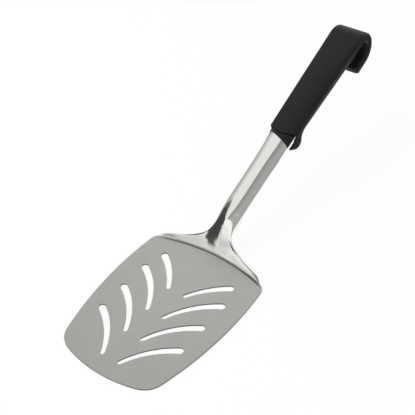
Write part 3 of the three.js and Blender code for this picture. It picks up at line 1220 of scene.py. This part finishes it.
@dataclass(frozen=True)
class Handle:
    """Moulded grip: a brow over the shank, finger-guard ears, a flat strap and a hook."""

    shank: Shank = field(default_factory=Shank)
    mouth: float = 69.0
    hook_centre: float = 166.0
    front_width: float = 23.0
    rear_width: float = 27.0
    brow_top: float = 4.2
    strap_top: float = 3.35
    crown: float = 2.0
    side_front: float = 2.9
    side_rear: float = 5.8
    belly: float = 6.4
    edge_round: float = 2.4
    least_flat: float = 0.4
    brow_fall: float = 4.2
    strap: float = 7.6
    hook_radius: float = 14.65
    hook_leg: float = 10.0
    socket_end: float = 118.3
    seat_end: float = 80.3
    guard_depth: float = 11.8
    guard_tip: float = 61.2
    guard_drop: float = 1.8
    guard_chin: float = 69.5
    guard_heel: float = 77.7
    guard_lean: float = 1.4
    guard_back: float = 85.0
    guard_width: float = 22.6
    guard_edge: float = 2.2
    ear_inside: float = 9.75
    notch_back: float = 78.5
    seat_gap: float = 0.8
    socket_gap: float = 0.3
    pin_hole: tuple[float, float] = (103.0, 2.3)
    mouth_crowding: float = 1.6
    voxel: float = 0.42
    soften: float = 0.5
    soften_rounds: int = 6
    steps: int = 8

    def section(
        self, half_width: float, low: float, high: float, crown: float, keel: float
    ) -> np.ndarray:
        """Draws a rounded section of the grip.

        Args:
            half_width: half of its width.
            low: its lower edges over the axis.
            high: its top edges over the axis.
            crown: how much higher the middle of the top is.
            keel: how much lower the middle of the underside is.

        Returns:
            Closed ring of x and height.
        """
        radius = min(self.edge_round, (high - low - self.least_flat) / 2)
        side = half_width - radius
        top = high - radius
        foot = low + radius
        points = []
        for quarter, (x, z) in enumerate(((side, top), (-side, top), (-side, foot), (side, foot))):
            turn = (quarter + np.linspace(0, 1, self.steps + 1)) * math.pi / 2
            points.append(np.column_stack([x + radius * np.cos(turn), z + radius * np.sin(turn)]))
            if quarter % 2 == 0:
                across = np.linspace(x, -x, 2 * self.steps)[1:-1]
                level = high if quarter == 0 else low
                points.append(np.column_stack([across, np.full(len(across), level)]))
        ring = np.concatenate(points)
        swell = np.where(ring[:, 1] > (low + high) / 2, crown, -keel)
        ring[:, 1] += swell * (1 - (ring[:, 0] / half_width) ** 2)
        return ring

    def grip_ring(self, y: float) -> np.ndarray:
        """Places one section of the straight grip.

        Args:
            y: distance along the axis.

        Returns:
            The ring in the shank's frame.
        """
        along = (y - self.mouth) / (self.hook_centre - self.mouth)
        half_width = (self.front_width + (self.rear_width - self.front_width) * along) / 2
        top = self.brow_top + (self.strap_top - self.brow_top) * along
        side = self.side_front + (self.side_rear - self.side_front) * along
        near_hook = ramp(y, self.hook_centre - self.hook_radius, self.hook_centre)
        low = -side + (self.strap_top - self.strap + side) * near_hook
        full = 1 - ramp(y, self.socket_end, self.hook_centre)
        ring = self.section(half_width, low, top, self.crown * full, (self.belly - side) * full)
        fall = self.brow_fall * math.exp((self.mouth - y) / self.brow_fall)
        return np.column_stack([ring[:, 0], y + fall * (ring[:, 0] / half_width) ** 2, ring[:, 1]])

    def hook_ring(self, turn: float, advance: float, inset: float) -> np.ndarray:
        """Places one section of the hook.

        Args:
            turn: angle round the hook from the strap.
            advance: distance straight on from that angle.
            inset: how much smaller the section is all round, for the rounded end.

        Returns:
            The ring in the shank's frame.
        """
        centre = self.strap_top - self.hook_radius
        middle = self.strap_top - self.strap / 2
        half = self.strap / 2 - inset
        ring = self.section(self.rear_width / 2 - inset, middle - half, middle + half, 0.0, 0.0)
        radius = ring[:, 1] - centre
        y = self.hook_centre + radius * math.sin(turn) + advance * math.cos(turn)
        z = centre + radius * math.cos(turn) - advance * math.sin(turn)
        return np.column_stack([ring[:, 0], y, z])

    def guard_outline(self) -> np.ndarray:
        """Draws the finger guard from the side: a lobe that reaches forward beside the shank.

        Returns:
            Closed ring of distance along the axis and height over it.
        """
        tip = np.array([self.guard_tip, -self.guard_drop])
        chin = np.array([self.guard_chin, -self.guard_depth])
        brow = np.array([self.mouth, -self.guard_drop])
        cheek = tip + (chin - tip) / 4
        jaw = tip + (chin - tip) * 3 / 4
        nape = np.array([self.guard_heel + self.guard_lean, cheek[1]])
        heel = np.array([self.guard_heel - self.guard_lean, -self.guard_depth])
        bottom = (chin + heel) / 2
        rear = (nape + heel) / 2
        end = np.array([self.guard_back, -self.side_front])
        return np.concatenate(
            [
                [end, (self.guard_back, 0.0), (self.mouth + self.guard_drop, 0.0), brow],
                bezier([tip + (brow - tip) / 4, tip, cheek], 2 * self.steps),
                bezier([jaw, chin, bottom], 2 * self.steps)[:-1],
                bezier([bottom, heel, rear], 2 * self.steps)[:-1],
                bezier([rear, nape, end], 2 * self.steps)[:-1],
            ]
        )

    def guard_rings(self) -> list[np.ndarray]:
        """Draws the finger guard across the whole width, with rounded sides.

        Returns:
            Rings in the shank's frame, from right to left.
        """
        outline = self.guard_outline()
        middle = outline.mean(axis=0)
        reach = (self.guard_back - self.guard_tip) / 2
        right = []
        for turn in np.linspace(math.pi / 2, 0, self.steps):
            place = self.guard_width / 2 - self.guard_edge * (1 - math.sin(turn))
            ring = middle + (1 - self.guard_edge * (1 - math.cos(turn)) / reach) * (outline - middle)
            right.append(np.column_stack([np.full(len(ring), place), ring]))
        return right + [ring * (-1, 1, 1) for ring in right[::-1]]

    def build(self, finish: bpy.types.Material) -> bpy.types.Object:
        """Builds the moulded handle.

        Args:
            finish: the black plastic.

        Returns:
            The finished piece.
        """
        world = self.shank.axis.world
        straight = np.linspace(0, 1, 8 * self.steps, endpoint=False) ** self.mouth_crowding
        rings = [self.grip_ring(self.mouth + (self.hook_centre - self.mouth) * s) for s in straight]
        rings += [self.hook_ring(turn, 0.0, 0.0) for turn in np.linspace(0, math.pi, 8 * self.steps)]
        for bend in np.linspace(0, math.pi / 2, self.steps):
            advance = self.hook_leg + self.edge_round * math.sin(bend)
            rings.append(self.hook_ring(math.pi, advance, self.edge_round * (1 - math.cos(bend))))
        body = loft("grip", [world(ring) for ring in rings])
        combine(body, loft("guard", [world(ring) for ring in self.guard_rings()]), "UNION")
        combine(body, self.notch(), "DIFFERENCE")
        seat = self.cutter("seat", self.shank.grown(self.seat_gap), self.seat_end)
        combine(body, seat, "DIFFERENCE")
        socket = self.cutter("socket", self.shank.grown(self.socket_gap), self.socket_end)
        combine(body, socket, "DIFFERENCE")
        combine(body, self.pin_bore(), "DIFFERENCE")
        even = body.modifiers.new("even_skin", "REMESH")
        even.mode = "VOXEL"
        even.voxel_size = self.voxel * MM
        soft = body.modifiers.new("soft_edges", "SMOOTH")
        soft.factor = self.soften
        soft.iterations = self.soften_rounds
        settle(body)
        body.data.shade_smooth()
        return dress(body, finish, Slot.GRIP, "handle")

    def notch(self) -> bpy.types.Object:
        """Makes the block that opens the guard under the shank.

        Returns:
            The block, in place.
        """
        high = self.shank.half_thickness
        low = -2 * self.guard_depth
        opening = np.array(oblong(-self.ear_inside, self.ear_inside, low, high))
        return self.cutter("notch", opening, self.notch_back)

    def cutter(self, name: str, section: np.ndarray, end: float) -> bpy.types.Object:
        """Makes a straight cutter along the shank's axis, from the axis's start.

        Args:
            name: the object's name.
            section: closed ring of x and height over the axis.
            end: where it ends along the axis.

        Returns:
            The cutter, in place.
        """
        x, up = section.T
        rings = [np.column_stack([x, np.full(len(x), y), up]) for y in (0.0, end)]
        return loft(name, [self.shank.axis.world(ring) for ring in rings])

    def pin_bore(self) -> bpy.types.Object:
        """Makes the bore for the pin in the underside.

        Returns:
            The bore, in place.
        """
        along, radius = self.pin_hole
        turn = np.linspace(0, 2 * math.pi, 4 * self.steps, endpoint=False)
        rings = []
        for height in (-2 * self.belly, 0.0):
            ring = [radius * np.cos(turn), along + radius * np.sin(turn), np.full(len(turn), height)]
            rings.append(self.shank.axis.world(np.column_stack(ring)))
        return loft("pin_bore", rings)


# Light, floor and camera


class Across(Enum):
    """The axis that a card lies across, by its number."""

    X = 0
    Y = 1
    Z = 2


@dataclass(frozen=True)
class Card:
    """A studio card that only shows in reflections, plain or with its tone running along one axis."""

    name: str
    tone: float
    across: Across
    place: float
    outline: Outline
    end_tone: float | None = None
    along: Across = Across.X
    run: tuple[float, float] = (0.0, 1.0)

    def build(self) -> None:
        """Builds the card."""
        corners = np.insert(np.array(self.outline, float), self.across.value, self.place, axis=1)
        made = mesh_object(self.name, corners, [tuple(range(len(corners)))])
        paint, tree = new_material(self.name)
        spot = add_node(tree, "ShaderNodeTexCoord").outputs["Object"]
        axes = add_node(tree, "ShaderNodeSeparateXYZ", {"Vector": spot})
        shade = {
            "Value": axes.outputs[self.along.value],
            "From Min": self.run[0] * MM,
            "From Max": self.run[1] * MM,
            "To Min": self.tone,
            "To Max": self.tone if self.end_tone is None else self.end_tone,
        }
        level = add_node(tree, "ShaderNodeMapRange", shade)
        end_material(tree, add_node(tree, "ShaderNodeEmission", {"Color": level.outputs["Result"]}))
        made.data.materials.append(paint)
        made.visible_camera = False
        made.visible_diffuse = False
        made.visible_shadow = False
        made.visible_transmission = False


@dataclass(frozen=True)
class Cards:
    """The cards round the spatula: grey and white ones for the steel, dark ones for the neck's patch.

    The steel mirrors the front wall, the ceiling and the cards beside it. The dark cards stand
    where the left flank of the neck looks, and two more beside the handle shade its right side.
    """

    beside: float = 4.0
    ceiling: float = 800.0
    front: float = -700.0
    front_top: float = 560.0
    front_walls: Outline = ((-1500, -720), (-720, -180), (-180, 900))
    dark: float = 0.05
    dark_wall: float = -690.0
    dark_side: float = -640.0
    dark_floor: float = 3.0
    dark_near: float = -58.0

    def light(self) -> list[Card]:
        """Lists the grey and white cards.

        Returns:
            The cards.
        """
        over = ((-150, -130), (700, -110), (700, 900), (-150, 900))
        upright = ((60, 0), (900, 0), (900, 800), (-110, 800))
        side = oblong(0, 900, 0, 640)
        left, middle, right = (oblong(*ends, 0, self.front_top) for ends in self.front_walls)
        return [
            Card("card_right", 0.38, Across.Z, self.beside, oblong(85, 900, -400, 900)),
            Card("card_upright", 0.4, Across.X, 700, upright),
            Card("card_over", 0.24, Across.Z, self.ceiling, over, 0.4, run=(-150, 500)),
            Card("card_top", 0.84, Across.Z, self.ceiling + 10, oblong(-2500, -100, -2500, 420)),
            Card("card_left", 0.5, Across.Z, self.beside, oblong(-900, -85, 20, 900)),
            Card("card_left_upright", 0.4, Across.X, -650, side, 0.85, Across.Z, (60, 640)),
            Card("card_front", 1.0, Across.Y, self.front, middle, 0.62, run=(-600, -240)),
            Card("card_front_right", 0.62, Across.Y, self.front, right, 0.9, run=(-180, 0)),
            Card("card_front_tip", 0.22, Across.Y, self.front + 2, oblong(-235, -170, 395, 540)),
            Card("card_front_left", 0.34, Across.Y, self.front, left, 0.85, run=(-790, -700)),
        ]

    def shade(self) -> list[Card]:
        """Lists the dark cards.

        Returns:
            The cards.
        """
        wall = self.dark_wall
        foot = ((-1200, 0), (-430, 0), (-426, 70), (-408, 112), (-440, 165))
        head = ((-600, 170), (self.dark_side, 265), (-1200, 265))
        flank = ((wall, 0), (240, 0), (195, 200), (60, 795), (wall, 795))
        bay = ((wall, 450), (-480, 350), (-480, 275), (wall, 262))
        floor = ((self.dark_side, wall), (-430, wall), (-75, -110), (-75, 126), (self.dark_side, 126))
        top = ((-900, -800), (-545, -800), (-560, -100), (-600, 50), (-900, 50))
        lower = ((-140, 10), (-72, 16), (-68, 24), (-69, 30))
        upper = ((-79, 32), (-80, 52), (-86, 58), (-105, 66), (-140, 66))
        return [
            Card("card_dark_front", self.dark, Across.Y, wall, foot + head),
            Card("card_dark_left", self.dark, Across.X, self.dark_side, flank + bay),
            Card("card_dark_high", self.dark, Across.Y, wall, oblong(-900, -540, 570, 800)),
            Card("card_dark_floor", self.dark, Across.Z, self.dark_floor, floor),
            Card("card_dark_top", self.dark, Across.Z, self.ceiling, top),
            Card("card_dark_near", self.dark, Across.Y, self.dark_near, lower + upper),
            Card("card_dark_ear", 0.2, Across.Z, self.dark_floor, oblong(24, 200, 165, 222)),
            Card("card_dark_hook", 0.08, Across.Z, self.dark_floor, oblong(24, 300, 318, 700)),
        ]


@dataclass(frozen=True)
class Studio:
    """White floor and surround, a soft key light, the camera and the cards that the metal mirrors.

    The key light's place, aim and size, the floor's size and the clip distances are in metres.
    """

    cards: Cards = field(default_factory=Cards)
    floor_size: float = 8.0
    floor_albedo: str = "#f2f2f0"
    floor_white: float = 0.9
    floor_drop: float = 0.15
    surround: float = 0.75
    key_power: float = 14.0
    key_size: float = 1.1
    key_place: tuple[float, float, float] = (-0.75, -0.55, 1.15)
    key_aim: tuple[float, float, float] = (0.0, 0.08, 0.03)
    eye: tuple[float, float, float] = (289.2, -291.6, 457.6)
    aim: tuple[float, float, float] = (4.74, 51.24, 55.66)
    roll: float = 4.31
    lens: float = 78.07
    sensor: float = 36.0
    clip: tuple[float, float] = (0.01, 50.0)

    def seen(self, tree: bpy.types.NodeTree) -> bpy.types.NodeSocket:
        """Tells rays that look straight, by reflection or through glass from those that carry light.

        Args:
            tree: the material's or the world's tree.

        Returns:
            A socket that is 1 for rays that look.
        """
        path = add_node(tree, "ShaderNodeLightPath")
        first = {0: path.outputs["Is Camera Ray"], 1: path.outputs["Is Glossy Ray"]}
        either = add_node(tree, "ShaderNodeMath", first, operation="MAXIMUM")
        second = {0: either.outputs[0], 1: path.outputs["Is Transmission Ray"]}
        return add_node(tree, "ShaderNodeMath", second, operation="MAXIMUM").outputs[0]

    def build_world(self) -> None:
        """Builds the surround: white to look at, softer as light."""
        world = bpy.data.worlds.new("studio")
        bpy.context.scene.world = world
        world.use_nodes = True
        tree = world.node_tree
        tree.nodes.clear()
        light = add_node(tree, "ShaderNodeBackground", {"Color": WHITE, "Strength": self.surround})
        sight = add_node(tree, "ShaderNodeBackground", {"Color": WHITE, "Strength": 1.0})
        parts = {0: self.seen(tree), 1: light.outputs[0], 2: sight.outputs[0]}
        both = add_node(tree, "ShaderNodeMixShader", parts)
        add_node(tree, "ShaderNodeOutputWorld", {"Surface": both.outputs[0]})

    def build_floor(self) -> None:
        """Builds the floor: white to look at, and still taking the spatula's shadow."""
        half = self.floor_size / 2 / MM
        corners = np.array(oblong(-half, half, -half, half))
        points = np.column_stack([corners, np.full(len(corners), -self.floor_drop)])
        floor = mesh_object("floor", points, [(0, 1, 2, 3)])
        made, tree = new_material("floor_matt_white")
        matt = add_node(tree, "ShaderNodeBsdfDiffuse", {"Color": colour(self.floor_albedo)})
        white = add_node(tree, "ShaderNodeEmission", {"Color": WHITE, "Strength": 1.0})
        share = add_node(
            tree, "ShaderNodeMath", {0: self.seen(tree), 1: self.floor_white}, operation="MULTIPLY"
        )
        parts = {0: share.outputs[0], 1: matt.outputs[0], 2: white.outputs[0]}
        end_material(tree, add_node(tree, "ShaderNodeMixShader", parts))
        floor.data.materials.append(made)

    def build_key(self) -> None:
        """Hangs the key light, a wide softbox over the front left."""
        lamp = bpy.data.lights.new("key", "AREA")
        lamp.energy = self.key_power
        lamp.size = self.key_size
        key = bpy.data.objects.new("key", lamp)
        bpy.context.scene.collection.objects.link(key)
        key.location = self.key_place
        key.visible_glossy = False
        away = Vector(self.key_place) - Vector(self.key_aim)
        key.rotation_mode = "QUATERNION"
        key.rotation_quaternion = away.to_track_quat("Z", "Y")

    def build_camera(self) -> None:
        """Sets the camera up as the photograph was taken."""
        data = bpy.data.cameras.new("camera")
        data.lens = self.lens
        data.sensor_width = self.sensor
        camera = bpy.data.objects.new("camera", data)
        bpy.context.scene.collection.objects.link(camera)
        eye = Vector(self.eye) * MM
        look = Vector(self.aim) * MM - eye
        level = look.to_track_quat("-Z", "Y")
        tip = Quaternion((0.0, 0.0, 1.0), math.radians(-self.roll))
        camera.location = eye
        camera.rotation_mode = "QUATERNION"
        camera.rotation_quaternion = level @ tip
        data.clip_start, data.clip_end = self.clip
        bpy.context.scene.camera = camera

    def build(self) -> None:
        """Builds the whole studio."""
        bpy.context.scene.view_settings.view_transform = "Standard"
        self.build_world()
        self.build_floor()
        cards = self.cards.light() + self.cards.shade()
        for card in cards:
            card.build()
        self.build_key()
        self.build_camera()
        LOG.info("studio: floor, key and %d cards", len(cards))


def main() -> None:
    """Dresses the spatula and builds its studio."""
    logging.basicConfig(level=logging.INFO, format="%(name)s: %(message)s")
    satin = SatinSteel().material()
    polished = PolishedSteel().material()
    sheared_and_seam_shade = ShearedSteelAndSeamShade().material()
    grip = MouldedPlastic().material()
    seal = SmoothPlastic().material()
    drawn = DrawnSteel().material()
    blade = Blade()
    blade.build_plate(satin, sheared_and_seam_shade)
    blade.build_shoulder(polished, sheared_and_seam_shade)
    Shank().build(polished)
    Sleeve().build(seal)
    Handle().build(grip)
    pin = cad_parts["retaining_pin"]
    pin.data.materials.clear()
    pin.data.materials.append(drawn)
    LOG.info("%s: shown as packed", pin.name)
    Studio().build()


if __name__ == "__main__":
    main()
